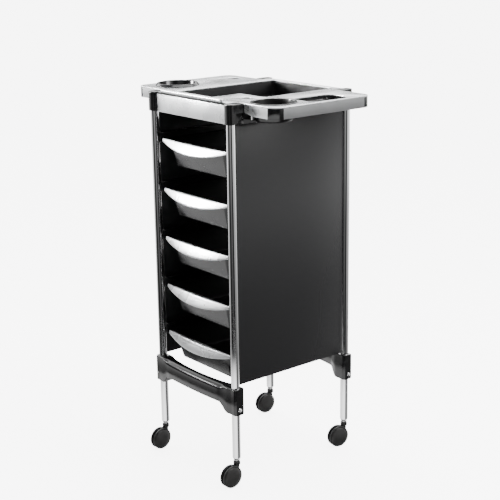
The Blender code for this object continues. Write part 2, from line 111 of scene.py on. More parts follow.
def noise(tree, scale, detail=3.0, stretch=(1, 1, 1)):
    """Noise over the object's own coordinates, in metres."""
    place = tree.nodes.new("ShaderNodeTexCoord")
    mapping = tree.nodes.new("ShaderNodeMapping")
    mapping.inputs["Scale"].default_value = stretch
    mapping.inputs["Rotation"].default_value = (0.5, 0.7, 0.3) if stretch == (1, 1, 1) else (0, 0, 0)
    texture = tree.nodes.new("ShaderNodeTexNoise")
    texture.inputs["Scale"].default_value = scale
    texture.inputs["Detail"].default_value = detail
    tree.links.new(place.outputs["Object"], mapping.inputs["Vector"])
    tree.links.new(mapping.outputs["Vector"], texture.inputs["Vector"])
    return texture.outputs["Fac"]


def remap(tree, value, low, high, start=0.3, stop=0.7):
    """Turn start to stop in a value into low to high."""
    ramp = tree.nodes.new("ShaderNodeMapRange")
    ramp.inputs["From Min"].default_value = start
    ramp.inputs["From Max"].default_value = stop
    ramp.inputs["To Min"].default_value = low
    ramp.inputs["To Max"].default_value = high
    tree.links.new(value, ramp.inputs["Value"])
    return ramp.outputs["Result"]


def tint(tree, value, first, second, start=0.35, stop=0.65):
    """Colour that goes from first to second as a value goes from start to stop."""
    ramp = tree.nodes.new("ShaderNodeValToRGB")
    ramp.color_ramp.elements[0].position = start
    ramp.color_ramp.elements[1].position = stop
    ramp.color_ramp.elements[0].color = (*first, 1)
    ramp.color_ramp.elements[1].color = (*second, 1)
    tree.links.new(value, ramp.inputs["Fac"])
    return ramp.outputs["Color"]


def bump(tree, shader, height, distance):
    """Surface relief, with its depth in metres."""
    node = tree.nodes.new("ShaderNodeBump")
    node.inputs["Distance"].default_value = distance
    tree.links.new(height, node.inputs["Height"])
    tree.links.new(node.outputs["Normal"], shader.inputs["Normal"])


def silver_paint(name, bright=1.0, roughness=0.27, metallic=0.70):
    """Satin silver paint: fine flake under a smooth clear skin."""
    base = [c * bright for c in (0.74, 0.75, 0.76)]
    mat, tree, shader = shader_tree(name, base, roughness, metallic)
    flake = noise(tree, 1400, 2.0)
    cloud = noise(tree, 22, 3.0)
    dark = [c * 0.90 for c in base]
    colour = tint(tree, flake, dark, [min(c * 1.06, 1.0) for c in base])
    tree.links.new(colour, shader.inputs["Base Color"])
    tree.links.new(remap(tree, cloud, roughness - 0.04, roughness + 0.05), shader.inputs["Roughness"])
    bump(tree, shader, flake, 0.00004)
    shader.inputs["Coat Weight"].default_value = 0.25
    shader.inputs["Coat Roughness"].default_value = 0.12
    return mat


def black_gloss(name, colour=(0.006, 0.006, 0.0065), roughness=0.12):
    """Gloss black moulding: faint orange peel, and handling marks in the sheen."""
    mat, tree, shader = shader_tree(name, colour, roughness, 0.0)
    peel = noise(tree, 140, 2.0)
    marks = noise(tree, 35, 6.0, (1, 1, 2.5))
    tree.links.new(remap(tree, marks, roughness * 0.7, roughness * 1.6), shader.inputs["Roughness"])
    tree.links.new(tint(tree, marks, colour, [c * 1.6 for c in colour]), shader.inputs["Base Color"])
    bump(tree, shader, peel, 0.00006)
    shader.inputs["IOR"].default_value = 1.53
    return mat


def black_sheet(name):
    """Semi-gloss black side sheet with a fine pebble and soft clouding from wiping."""
    base = (0.020, 0.020, 0.021)
    mat, tree, shader = shader_tree(name, base, 0.26, 0.0)
    pebble = noise(tree, 420, 1.0)
    cloud = noise(tree, 6, 0.0)
    tree.links.new(remap(tree, cloud, 0.24, 0.28, 0.0, 1.0), shader.inputs["Roughness"])
    wiped = [c * 1.15 for c in base]
    tree.links.new(tint(tree, cloud, base, wiped, 0.0, 1.0), shader.inputs["Base Color"])
    bump(tree, shader, pebble, 0.000012)
    return mat


def black_liner_painted_shade(name):
    """Darker, duller black of the insides of trays, basin and cup: painted shade in the hollows, with a grain
    that mirrors very little.
    """
    base = (0.004, 0.004, 0.0042)
    mat, tree, shader = shader_tree(name, base, 0.5, 0.0)
    grain = noise(tree, 500, 3.0)
    scuffs = noise(tree, 30, 5.0)
    tree.links.new(remap(tree, scuffs, 0.42, 0.60), shader.inputs["Roughness"])
    tree.links.new(tint(tree, scuffs, base, [c * 1.8 for c in base]), shader.inputs["Base Color"])
    bump(tree, shader, grain, 0.00005)
    shader.inputs["Specular IOR Level"].default_value = 0.15
    return mat


def chrome(name, colour=(0.88, 0.88, 0.89), roughness=0.04):
    """Bright plating with faint smears."""
    mat, tree, shader = shader_tree(name, colour, roughness, 1.0)
    smear = noise(tree, 60, 4.0, (1, 1, 0.15))
    tree.links.new(remap(tree, smear, roughness * 0.6, roughness * 2.2), shader.inputs["Roughness"])
    tree.links.new(tint(tree, smear, [c * 0.93 for c in colour], colour), shader.inputs["Base Color"])
    return mat


def moulded(name, colour, roughness, grain=0.00008):
    """Matt moulded plastic or rubber with a fine grain and a little dust in the colour."""
    mat, tree, shader = shader_tree(name, colour, roughness, 0.0)
    fine = noise(tree, 900, 3.0)
    dust = noise(tree, 55, 5.0)
    dusty = [c * 1.4 + 0.004 for c in colour]
    tree.links.new(tint(tree, dust, colour, dusty, 0.4, 0.75), shader.inputs["Base Color"])
    tree.links.new(remap(tree, dust, roughness - 0.06, roughness + 0.1), shader.inputs["Roughness"])
    bump(tree, shader, fine, grain)
    return mat


def floor_paint(name):
    """White that glows by itself, so that the floor and backdrop stay evenly bright."""
    mat, tree, shader = shader_tree(name, (0.90, 0.90, 0.90), 0.6, 0.0)
    shader.inputs["Emission Color"].default_value = (1, 1, 1, 1)
    shader.inputs["Emission Strength"].default_value = 6.0
    cloud = noise(tree, 3, 2.0)
    tree.links.new(tint(tree, cloud, (0.89, 0.89, 0.89), (0.91, 0.91, 0.91)), shader.inputs["Base Color"])
    return mat


SILVER = silver_paint("silver_paint")
# Darker copy of the silver paint for the wings' side strips: painted shade, the same paint as the fronts at
# half brightness.
SILVER_SHADED_SIDE = silver_paint("silver_side_painted_shade", 0.50, 0.36)
BLACK = black_gloss("black_gloss")
BLACK_TUB = black_gloss("black_tub", (0.007, 0.007, 0.0075), 0.18)
SHADED_LINER = black_liner_painted_shade("black_liner_painted_shade")
SHEET = black_sheet("black_sheet")
CHROME = chrome("chrome_plate")
ZINC = chrome("zinc_plate", (0.70, 0.70, 0.71), 0.16)
HUB = moulded("wheel_cover", (0.024, 0.0235, 0.023), 0.34)
TREAD = moulded("wheel_tread", (0.012, 0.012, 0.012), 0.55)
FORK = moulded("fork_black", (0.012, 0.012, 0.012), 0.34)


# ---------------------------------------------------------------- mesh tools
def piece(name, data, body, slot, replaced, *mats, sharp=32):
    """Finish a bmesh as a smooth piece that rides on a body and stands for CAD nodes."""
    bmesh.ops.recalc_face_normals(data, faces=data.faces)
    mesh = bpy.data.meshes.new(name)
    data.to_mesh(mesh)
    data.free()
    obj = bpy.data.objects.new(name, mesh)
    bpy.context.scene.collection.objects.link(obj)
    for mat in mats:
        mesh.materials.append(mat)
    mesh.shade_smooth()
    mesh.set_sharp_from_angle(angle=math.radians(sharp))
    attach(obj, body)
    if replaced:
        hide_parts(*replaced)
    return obj


def paint(node, mat):
    """Give a CAD piece that stays in view its material."""
    for index in range(len(node.material_slots)):
        node.material_slots[index].material = mat


def rounded(corners, steps=8):
    """Outline through (x, y, radius) corners, with an arc at each corner that has a radius."""
    outline = []
    count = len(corners)
    for i, (x, y, radius) in enumerate(corners):
        here = Vector((x, y))
        if radius == 0:
            outline.append(here)
            continue
        before = (Vector(corners[i - 1][:2]) - here).normalized()
        after = (Vector(corners[(i + 1) % count][:2]) - here).normalized()
        half = before.angle(after) / 2
        reach = radius / math.tan(half)
        centre = here + (before + after).normalized() * radius / math.sin(half)
        start = here + before * reach - centre
        turn = start.angle_signed(here + after * reach - centre)
        for k in range(steps + 1):
            outline.append(centre + Matrix.Rotation(-turn * k / steps, 2) @ start)
    return outline


def grow(corners, by):
    """Move an anticlockwise outline's sides outwards, and its corner arcs with them."""
    moved = []
    count = len(corners)
    for i, (x, y, radius) in enumerate(corners):
        here = Vector((x, y))
        before = (here - Vector(corners[i - 1][:2])).normalized()
        after = (Vector(corners[(i + 1) % count][:2]) - here).normalized()
        outwards = Vector((before.y, -before.x)) + Vector((after.y, -after.x))
        shift = outwards * by / (1 + before.dot(after))
        convex = before.cross(after) > 0
        moved.append((x + shift.x, y + shift.y, max(radius + (by if convex else -by), 0.001)))
    return moved


def circle(x, y, radius, steps=72):
    """Outline of a round hole."""
    return [Vector((x + radius * math.cos(2 * math.pi * k / steps),
                    y + radius * math.sin(2 * math.pi * k / steps))) for k in range(steps)]


def add_loft(data, rings, closed=False):
    """Skin through rings of equal point counts: capped at both ends, or joined last to first."""
    made = [[data.verts.new(point) for point in ring] for ring in rings]
    pairs = list(zip(made, made[1:]))
    if closed:
        pairs.append((made[-1], made[0]))
    for near, far in pairs:
        for i in range(len(near)):
            j = (i + 1) % len(near)
            data.faces.new((near[i], near[j], far[j], far[i]))
    if not closed:
        data.faces.new(made[0][::-1])
        data.faces.new(made[-1])
    return made


def add_lathe(data, profile, centre=(0, 0, 0), steps=64, axis="Z", ring_loop=True):
    """Turn (radius, height) points about an upright or X axis. A radius of 0 closes the end."""
    start = len(data.verts)
    turns = [2 * math.pi * k / steps for k in range(steps)]
    rings = []
    for radius, height in profile:
        if radius == 0:
            rings.append([data.verts.new((0, 0, height))])
            continue
        rings.append([data.verts.new((radius * math.cos(a), radius * math.sin(a), height)) for a in turns])
    pairs = list(zip(rings, rings[1:]))
    if ring_loop and len(rings[0]) > 1 and len(rings[-1]) > 1:
        pairs.append((rings[-1], rings[0]))
    faces = []
    for near, far in pairs:
        if len(near) == len(far) == 1:
            continue
        for k in range(steps):
            n = (k + 1) % steps
            if len(near) == 1:
                faces.append(data.faces.new((near[0], far[n], far[k])))
            elif len(far) == 1:
                faces.append(data.faces.new((near[k], near[n], far[0])))
            else:
                faces.append(data.faces.new((near[k], near[n], far[n], far[k])))
    data.verts.ensure_lookup_table()
    turned = [data.verts[i] for i in range(start, len(data.verts))]
    if axis == "X":
        bmesh.ops.rotate(data, matrix=Matrix.Rotation(math.pi / 2, 3, "Y"), verts=turned)
    bmesh.ops.translate(data, vec=Vector(centre), verts=turned)
    return faces


def add_box(data, low, high, soft=0.0, segments=2):
    """Box with softened edges."""
    made = bmesh.ops.create_cube(data, size=1.0)["verts"]
    bmesh.ops.scale(data, vec=Vector(high) - Vector(low), verts=made)
    bmesh.ops.translate(data, vec=(Vector(high) + Vector(low)) / 2, verts=made)
    if soft:
        edges = list({edge for vert in made for edge in vert.link_edges})
        bmesh.ops.bevel(data, geom=edges, offset=soft, segments=segments, profile=0.5, affect="EDGES")


def set_lining(data, rings):
    """Give the faces between some rings of a loft the second material."""
    lining = {vert for ring in rings for vert in ring}
    for face in data.faces:
        if all(vert in lining for vert in face.verts):
            face.material_index = 1


def arc(cx, cy, radius, start, stop, steps):
    """Points on an arc, angles in degrees."""
    turn = [math.radians(start + (stop - start) * k / steps) for k in range(steps + 1)]
    return [(cx + radius * math.cos(a), cy + radius * math.sin(a)) for a in turn]


def stamped(outline, holes, low, high, edge):
    """Flat plate with rounded edges round its outline and its holes, as a bmesh."""
    curve = bpy.data.curves.new("plate", "CURVE")
    curve.dimensions = "2D"
    curve.fill_mode = "BOTH"
    curve.extrude = (high - low) / 2 - edge
    curve.bevel_depth = edge
    curve.bevel_resolution = 3
    curve.offset = -edge
    for points in [outline] + holes:
        spline = curve.splines.new("POLY")
        spline.points.add(len(points) - 1)
        for point, place in zip(spline.points, points):
            point.co = (place[0], place[1], 0, 1)
        spline.use_cyclic_u = True
    drawn = bpy.data.objects.new("plate", curve)
    bpy.context.scene.collection.objects.link(drawn)
    bpy.context.view_layer.update()
    mesh = bpy.data.meshes.new_from_object(drawn.evaluated_get(bpy.context.evaluated_depsgraph_get()))
    bpy.data.objects.remove(drawn, do_unlink=True)
    data = bmesh.new()
    data.from_mesh(mesh)
    bpy.data.meshes.remove(mesh)
    bmesh.ops.remove_doubles(data, verts=data.verts, dist=1e-6)
    bmesh.ops.translate(data, vec=(0, 0, (low + high) / 2), verts=data.verts)
    return data


def shift_y(data):
    """Move a mesh drawn about the posts' middle to its place."""
    bmesh.ops.translate(data, vec=(0, MID_Y, 0), verts=data.verts)
    return data


def cut_round(obj, holes):
    """Cut upright round holes, given as (x, y, radius, low, high) about the posts' middle."""
    data = bmesh.new()
    for x, y, radius, low, high in holes:
        add_lathe(data, [(0, high), (radius, high), (radius, low), (0, low)], (x, y + MID_Y, 0), 48)
    bmesh.ops.recalc_face_normals(data, faces=data.faces)
    mesh = bpy.data.meshes.new("drill")
    data.to_mesh(mesh)
    data.free()
    drill = bpy.data.objects.new("drill", mesh)
    bpy.context.scene.collection.objects.link(drill)
    step = obj.modifiers.new("holes", "BOOLEAN")
    step.operation = "DIFFERENCE"
    step.solver = "EXACT"
    step.object = drill
    bpy.context.view_layer.update()
    mats = list(obj.data.materials)
    mesh = bpy.data.meshes.new_from_object(obj.evaluated_get(bpy.context.evaluated_depsgraph_get()))
    obj.modifiers.clear()
    obj.data = mesh
    mesh.materials.clear()
    for mat in mats:
        mesh.materials.append(mat)
    mesh.shade_smooth()
    mesh.set_sharp_from_angle(angle=math.radians(32))
    bpy.data.objects.remove(drill, do_unlink=True)


def smoothstep(value, low, high):
    """Ease from 0 to 1 as a value goes from low to high."""
    t = min(max((value - low) / (high - low), 0.0), 1.0)
    return t * t * (3 - 2 * t)


# ---------------------------------------------------------------- tube frame
def post(corner):
    """Chrome tube, open at the top and rounded at the foot."""
    node = "post_" + corner
    low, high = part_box(node)
    inner, soft = TUBE_R - 0.001, 0.0005
    data = bmesh.new()
    profile = [(inner, high.z), (TUBE_R, high.z), (TUBE_R, low.z + soft), (TUBE_R - soft, low.z),
               (inner, low.z)]
    add_lathe(data, profile, (middle(node).x, middle(node).y, 0), 64)
    piece(corner + "_tube", data, "root", "chrome_tube", [node], CHROME)


def ferrule(corner):
    """Rolled ring and plug at the foot of a tube."""
    node = "leg_ferrule_" + corner
    low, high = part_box(node)
    ring, lip, bore = 0.0070, 0.0086, 0.0043
    shoulder = low.z + 0.0072
    profile = [(TUBE_R - 0.0013, high.z), (TUBE_R - 0.0013, shoulder), (lip - 0.0006, shoulder)]
    profile += [(lip - 0.0006 + 0.0006 * math.cos(a), shoulder - 0.0007 + 0.0007 * math.sin(a))
                for a in [math.pi / 2 * (1 - k / 3) for k in range(1, 7)]]
    profile += [(0.0060, low.z + 0.0052)]
    profile += [(ring - 0.0012 + 0.0012 * math.cos(a), low.z + 0.0026 + 0.0024 * math.sin(a))
                for a in [math.pi / 2 * (1 - k / 5) for k in range(0, 11)]]
    profile += [(bore, low.z), (bore, high.z)]
    data = bmesh.new()
    add_lathe(data, profile, (middle(node).x, middle(node).y, 0), 48)
    piece(corner + "_ferrule", data, "root", "plated_steel", [node], ZINC)


def rail_section(x, end):
    """Cross-section of a bottom rail at x: bowed, with a scooped upper edge and deep ends."""
    face_y, back_y, waist_y, socket_y = -0.1828, -0.169, -0.159, -0.1535
    face_x, arch_x, swell_x, waist_x, socket_x, end_x = 0.09, 0.098, 0.10, 0.11, 0.1255, 0.1485
    arch_z = 0.1965           # underside between the sockets
    soft, steps, rounding = 0.0018, 8, 0.55
    far = abs(x)
    swell = smoothstep(far, swell_x, socket_x)
    bow = 0.0065 * (1 - (min(far, POST_X) / POST_X) ** 2)
    corner = 0.004 * (1 - math.sqrt(max(0.0, 1 - smoothstep(far, end_x, RAIL_OUT) ** 2)))
    front = face_y - bow + corner + 0.002 * smoothstep(far, face_x, socket_x)
    back = back_y + (waist_y - back_y) * min(far / waist_x, 1.0) ** 2
    back = back + (socket_y - back) * swell - corner
    low = RAIL_LOW + (arch_z - RAIL_LOW) * (1 - smoothstep(far, arch_x, socket_x))
    scoop = 0.011 * (1 - 0.75 * swell)
    depth = 0.0085 * (1 - 0.75 * swell)
    ring = arc(front + soft, low + soft, soft, 270, 180, 4)
    for k in range(steps + 1):
        turn, chord = math.pi / 2 * k / steps, (1 - rounding) * k / steps
        ring.append((front + depth * ((1 - math.cos(turn)) * rounding + chord),
                     RAIL_HIGH - scoop + (scoop - 0.0006) * (math.sin(turn) * rounding + chord)))
    ring += arc(front + depth + 0.0012, RAIL_HIGH - 0.0008, 0.0008, 130, 90, 2)
    ring += arc(back - soft, RAIL_HIGH - soft, soft, 90, 0, 4)
    ring += arc(back - soft, low + soft, soft, 0, -90, 4)
    return [(x, -end * y + MID_Y, z) for y, z in ring]


def bottom_rail(end_name):
    """Moulded rail between two legs, with a socket round each."""
    end = SIGN[end_name]
    even, even_steps, end_steps = 0.150, 60, 6
    half = [even * k / even_steps for k in range(even_steps + 1)]
    half += [even + (RAIL_OUT - even) * math.sin(math.pi / 2 * k / end_steps)
             for k in range(1, end_steps + 1)]
    stations = [-x for x in half[:0:-1]] + half
    data = bmesh.new()
    add_loft(data, [rail_section(x, end) for x in stations])
    node = "bottom_rail_" + end_name
    rail = piece(node + "_moulding", data, "root", "black_gloss", [node], BLACK)
    cut_round(rail, [(side * POST_X, end * POST_Y, BORE_R, RAIL_LOW - DRILL_OVER, RAIL_HIGH + DRILL_OVER)
                     for side in (-1, 1)])


def socket_screw(corner):
    """Pan head with a cross recess, on the outer face of a socket."""
    node = "socket_screw_" + corner
    low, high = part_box(node)
    side = SIGN[corner.split("_")[1]]
    radius, thick = (high.z - low.z) / 2, high.x - low.x
    seat = low.x if side > 0 else high.x
    head = [(0, 0), (radius, 0), (radius, thick * 0.25)]
    head += [(radius * math.cos(a), thick * 0.25 + thick * 0.75 * math.sin(a)) for a in (0.35, 0.7, 1.05)]
    head += [(radius * 0.35, thick * 0.97), (radius * 0.30, thick * 0.45), (0, thick * 0.40)]
    data = bmesh.new()
    add_lathe(data, head, (0, 0, 0), 32, "X")
    if side < 0:
        bmesh.ops.rotate(data, matrix=Matrix.Rotation(math.pi, 3, "Z"), verts=data.verts)
    bmesh.ops.translate(data, vec=(seat, middle(node).y, middle(node).z), verts=data.verts)
    piece(corner + "_screw", data, "root", "plated_steel", [node], CHROME)


def side_panel(side_name):
    """Sheet between two posts, with soft-edged guide ridges and stops on its inner face."""
    side = SIGN[side_name]
    node = "side_panel_" + side_name
    low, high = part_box(node)
    outer, ridge_in = max(abs(low.x), abs(high.x)), min(abs(low.x), abs(high.x))
    sheet_t, ridge_t, stop_t = 0.004, 0.0026, 0.0021
    inner = outer - sheet_t
    root = inner + 0.001
    front, back = MID_Y - 0.157, MID_Y + 0.153
    data = bmesh.new()
    add_box(data, (inner, low.y, low.z), (outer, high.y, high.z), 0.0011, 3)
    sheet_faces = len(data.faces)
    for level in LEVELS:
        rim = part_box("tray_%d" % level)[1].z
        above, below = rim + RIDGE_RISE, rim - TRAY_LIP - RIDGE_GAP
        add_box(data, (ridge_in, front, above), (root, back, above + ridge_t), 0.0008)
        add_box(data, (ridge_in, front, below - ridge_t), (root, back, below), 0.0008)
        add_box(data, (ridge_in + 0.0004, back - 0.0004 - stop_t, below - 0.001),
                (root, back - 0.0004, above + 0.001), 0.0004)
    for face in list(data.faces)[sheet_faces:]:
        face.material_index = 1
    if side < 0:
        bmesh.ops.scale(data, vec=(-1, 1, 1), verts=data.verts)
    piece(side_name + "_side_sheet", data, "root", "panel_black", [node], SHEET, BLACK_TUB)


# ---------------------------------------------------------------- top
def deck():
    """Silver top plate of the trolley and its two wings."""
    edge_y = MID_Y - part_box("top_band_front")[1].y - SEAM
    block_x, block_y = BLOCK_X - SEAM, BLOCK_Y - SEAM
    step_in, step_out = 0.148, 0.1505
    quarter = [(block_x, edge_y, 0), (block_x, block_y, 0), (step_in, block_y, 0),
               (step_out, WING_Y, 0), (WING_X, WING_Y, WING_R)]
    front = [(x, -y, r) for x, y, r in quarter]
    back = [(x, y, r) for x, y, r in quarter[::-1]]
    right = front + back
    left = [(-x, -y, r) for x, y, r in right]
    holes = [rounded(BASIN), rounded(DISH)] + [circle(*hole) for hole in [CUP, DRYER] + COMB_HOLES]
    data = stamped(rounded(right + left), holes, DECK_Z - DECK_T, DECK_Z, 0.0009)
    piece("top_plate", shift_y(data), "root", "silver_plastic", ["top_deck"], SILVER)


WING_STEPS = (10, 16, 24, 16, 10)      # lengths of a wing's edge: front, corner, side, corner, rear


def wing_path(side):
    """Points of a wing's edge from its front inner end to its rear inner end, with outward normals."""
    straight, bend, long = WING_STEPS[:3]
    turn_x, turn_y = WING_X - WING_R, WING_Y - WING_R
    points = [(BODY_X + (turn_x - BODY_X) * k / straight, -WING_Y, 0, -1) for k in range(straight + 1)]
    points += [(x, y, (x - turn_x) / WING_R, (y + turn_y) / WING_R)
               for x, y in arc(turn_x, -turn_y, WING_R, -90, 0, bend)[1:]]
    points += [(WING_X, -turn_y + 2 * turn_y * k / long, 1, 0) for k in range(1, long + 1)]
    points += [(x, y, (x - turn_x) / WING_R, (y - turn_y) / WING_R)
               for x, y in arc(turn_x, turn_y, WING_R, 0, 90, bend)[1:]]
    points += [(turn_x + (BODY_X - turn_x) * k / straight, WING_Y, 0, 1) for k in range(1, straight + 1)]
    return [(side * x, y, side * nx, ny) for x, y, nx, ny in points]


def wing_strip(name, path, mat, slot):
    """One length of a wing's skirt: a thin strip with soft edges, swept up beside a corner block."""
    top, soft = DECK_Z - DECK_T + 0.0001, 0.0008
    sweep_up, sweep_length = 0.0055, 0.030
    rings = []
    for x, y, nx, ny in path:
        low = WING_LOW
        if abs(y) > WING_Y - 1e-4:
            low += sweep_up * (1 - smoothstep(abs(x), BODY_X, BODY_X + sweep_length))
        section = [(-SKIRT, low + 0.0003), (-SKIRT, top), (0, top), (0, low + soft),
                   (-soft * 0.3, low + soft * 0.3), (-soft, low)]
        rings.append([(x + nx * d, y + ny * d + MID_Y, z) for d, z in section])
    data = bmesh.new()
    add_loft(data, rings)
    piece(name, data, "root", slot, ["top_deck"], mat, sharp=50)


def wing_skirts(side_name):
    """A wing's edge: silver lengths with black corners between them; the side length takes the darker silver,
    which is painted shade.
    """
    path = wing_path(SIGN[side_name])
    cuts = [sum(WING_STEPS[:k]) for k in range(len(WING_STEPS) + 1)]
    looks = [("front", SILVER, "silver_plastic"), ("front_corner", BLACK, "black_gloss"),
             ("side", SILVER_SHADED_SIDE, "silver_plastic"), ("rear_corner", BLACK, "black_gloss"),
             ("rear", SILVER, "silver_plastic")]
    for (word, mat, slot), start, stop in zip(looks, cuts, cuts[1:]):
        wing_strip("%s_wing_%s_strip" % (side_name, word), path[start:stop + 1], mat, slot)


def basin():
    """L-shaped tub under the deck, with rounded foot and a flange; its inside takes the darker liner, which is
    painted shade.
    """
    low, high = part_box("basin")
    floor, top = low.z, high.z
    soft = 0.007
    levels = [(-soft * 0.9, floor + WALL)]
    levels += [(-soft + soft * math.sin(a), floor + WALL + soft * (1 - math.cos(a)))
               for a in [math.pi / 2 * k / 6 for k in range(1, 7)]]
    levels += [(0, top - 0.0005)]
    inside = len(levels)
    levels += [(0.0003, top), (0.0059, top), (0.006, top - 0.0017), (WALL, top - 0.002)]
    levels += [(WALL - soft + soft * math.cos(a), floor + soft - soft * math.sin(a))
               for a in [math.pi / 2 * k / 6 for k in range(0, 7)]]
    rings = [[(x, y + MID_Y, z) for x, y in rounded(grow(BASIN, by))] for by, z in levels]
    data = bmesh.new()
    made = add_loft(data, rings)
    # The inner faces get the darker liner: painted shade in the tub's hollow.
    set_lining(data, made[:inside])
    piece("basin_tub", data, "root", "black_gloss", ["basin"], BLACK_TUB, SHADED_LINER)


def corner_block(corner):
    """Gloss corner moulding over a post: rounded crown, and a foot that sweeps up along the side."""
    node = "corner_block_" + corner
    low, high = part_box(node)
    end, side = [SIGN[word] for word in corner.split("_")]
    crown, foot_reach, foot_top, steps = 0.0016, 0.0185, 0.858, 22
    levels = [(low.z + (high.z - crown - low.z) * k / steps, 0.0) for k in range(steps + 1)]
    levels += [(high.z - crown + crown * math.sin(a), crown * (1 - math.cos(a)))
               for a in [math.pi / 2 * k / 4 for k in range(1, 5)]]
    rings = []
    for z, inset in levels:
        climb = smoothstep(z, low.z - 0.004, foot_top)
        reach = BLOCK_Y + foot_reach * (1 - climb)
        corners = [(BLOCK_X + inset, reach + inset, 0.0012), (BODY_X - inset, reach + inset, 0.0028),
                   (BODY_X - inset, BODY_Y - inset, BLOCK_R - inset),
                   (BLOCK_X + inset, BODY_Y - inset, BLOCK_R - inset)]
        rings.append([(side * x, end * y + MID_Y, z) for x, y in rounded(corners, 10)])
    data = bmesh.new()
    add_loft(data, rings)
    block = piece(corner + "_corner_moulding", data, "root", "black_gloss", [node], BLACK)
    bore_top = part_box("post_" + corner)[1].z + 0.0004
    cut_round(block, [(side * POST_X, end * POST_Y, BORE_R, low.z - DRILL_OVER, bore_top)])


def band(end_name):
    """Silver fascia between two corner mouldings."""
    node = "top_band_" + end_name
    low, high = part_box(node)
    data = bmesh.new()
    add_box(data, low, high, 0.0011, 3)
    piece(end_name + "_fascia", data, "root", "silver_plastic", [node], SILVER)


def front_lip():
    """Raised bar with round ends, and a black strip between it and the front fascia that stands for the shadow
    gap under the bar: painted shadow.
    """
    low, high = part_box("front_lip")
    radius = (high.y - low.y) / 2 - 0.0003
    corners = [(low.x, low.y, radius), (high.x, low.y, radius),
               (high.x, high.y, radius), (low.x, high.y, radius)]
    data = stamped(rounded(corners, 10), [], low.z, high.z, 0.0026)
    piece("front_lip_bar", data, "root", "silver_plastic", ["front_lip"], SILVER)
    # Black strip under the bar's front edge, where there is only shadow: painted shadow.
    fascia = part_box("top_band_front")
    data = bmesh.new()
    add_box(data, (-BLOCK_X + SEAM, fascia[0].y + 0.0006, fascia[1].z + 0.0001),
            (BLOCK_X - SEAM, fascia[1].y, low.z - 0.0001), 0.0004)
    piece("front_lip_shadow_strip", data, "root", "black_gloss", ["front_lip"], SHADED_LINER)


def side_rail(side_name):
    """Rail under the deck: the CAD piece stays in view, in gloss black."""
    paint(NODES["side_rail_" + side_name], BLACK)


def round_cup():
    """Lift-out cup with a rolled rim."""
    low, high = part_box("round_cup")
    centre = (middle("round_cup").x, middle("round_cup").y, 0)
    rim = (high.x - low.x) / 2
    outer, foot = CUP[2] - 0.0012, CUP[2] - 0.0050
    base, top = low.z, high.z
    edge = top - 0.0014
    profile = [(0, base + 0.0006), (foot - 0.012, base + 0.0006), (foot - 0.010, base)]
    profile += arc(foot - 0.0055, base + 0.0055, 0.0055, -90, -8, 8)
    profile += [(outer, edge - 0.0002), (rim - 0.0006, edge)]
    profile += arc(rim - 0.0007, edge + 0.0007, 0.0007, -90, 90, 6)
    bore = outer - WALL
    profile += [(bore + 0.0012, top), (bore + 0.0003, top - 0.0004), (bore, top - 0.0013)]
    rim_points, around = len(profile), 96
    profile += arc(foot - 0.0055, base + 0.0055, 0.0055 - WALL, -8, -90, 8)
    profile += [(0, base + WALL)]
    data = bmesh.new()
    # Faces inside the cup get the darker liner: painted shade in its hollow.
    for face in add_lathe(data, profile, centre, around)[around * (rim_points - 1):]:
        face.material_index = 1
    piece("tint_cup", data, "cup_body", "black_gloss", ["round_cup"], BLACK, SHADED_LINER)


def dryer_ring():
    """Open funnel with a rolled collar, for a hair dryer's nozzle."""
    low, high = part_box("dryer_ring")
    centre = (middle("dryer_ring").x, middle("dryer_ring").y, 0)
    rim = (high.x - low.x) / 2
    outer, foot = DRYER[2] - 0.0010, DRYER[2] - 0.013
    edge, base, top = high.z - 0.006, low.z, high.z
    profile = [(foot, base), (outer, edge - 0.012), (outer, edge), (rim - 0.0005, edge)]
    profile += arc(rim - 0.0006, edge + 0.0010, 0.0006, -60, 60, 4)
    profile += [(rim - 0.0018, edge + 0.0030)]
    profile += arc(outer - 0.0002, top - 0.0017, 0.0017, 20, 160, 8)
    profile += [(outer - WALL, edge - 0.011), (foot - WALL, base + 0.0004), (foot - WALL + 0.0005, base)]
    data = bmesh.new()
    add_lathe(data, profile, centre, 96)
    piece("dryer_holder", data, "root", "black_gloss", ["dryer_ring"], BLACK)


def tool_dish():
    """Shallow dish with a deeper round well, and holes for the tails of brushes."""
    low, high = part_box("tool_dish")
    floor, top, base = 0.862, high.z, low.z
    well_x, well_y, well_r = 0.207, 0.026, 0.021
    tail_y, tail_r = (-0.007, 0.061), 0.006
    soft = 0.006
    levels = [(-soft, floor)]
    levels += [(-soft + soft * math.sin(a), floor + soft * (1 - math.cos(a)))
               for a in [math.pi / 2 * k / 5 for k in range(1, 6)]]
    levels += [(0, top), (0.0044, top), (0.0045, top - 0.0018), (WALL, top - 0.002)]
    levels += [(WALL - soft + soft * math.cos(a), floor - WALL + soft - soft * math.sin(a))
               for a in [math.pi / 2 * k / 5 for k in range(0, 6)]]
    data = bmesh.new()
    add_loft(data, [[(x, y + MID_Y, z) for x, y in rounded(grow(DISH, by))] for by, z in levels])
    dish = piece("tool_dish_tray", data, "root", "black_gloss", ["tool_dish"], BLACK_TUB)
    cut_round(dish, [(well_x, well_y, well_r - WALL, floor - 0.01, floor + 0.002)]
              + [(well_x, y, tail_r, floor - 0.01, floor + 0.01) for y in tail_y])
    deep = floor - base
    outside = [(well_r * math.cos(a), floor - WALL - (deep - WALL) * math.sin(a))
               for a in [math.pi / 2 * k / 12 for k in range(0, 11)]]
    inside = [(r * (well_r - WALL) / well_r, z + WALL * 0.9) for r, z in outside]
    profile = outside + [(0.0060, base), (0.0055, base + WALL)] + inside[::-1]
    data = bmesh.new()
    add_lathe(data, profile, (well_x, well_y + MID_Y, 0), 64)
    piece("tool_dish_well", data, "root", "black_gloss", ["tool_dish"], BLACK_TUB)


# ---------------------------------------------------------------- trays
TUB_HALF, TUB_FRONT, TUB_BACK, TUB_FACET = 0.1262, 0.157, 0.146, 0.030


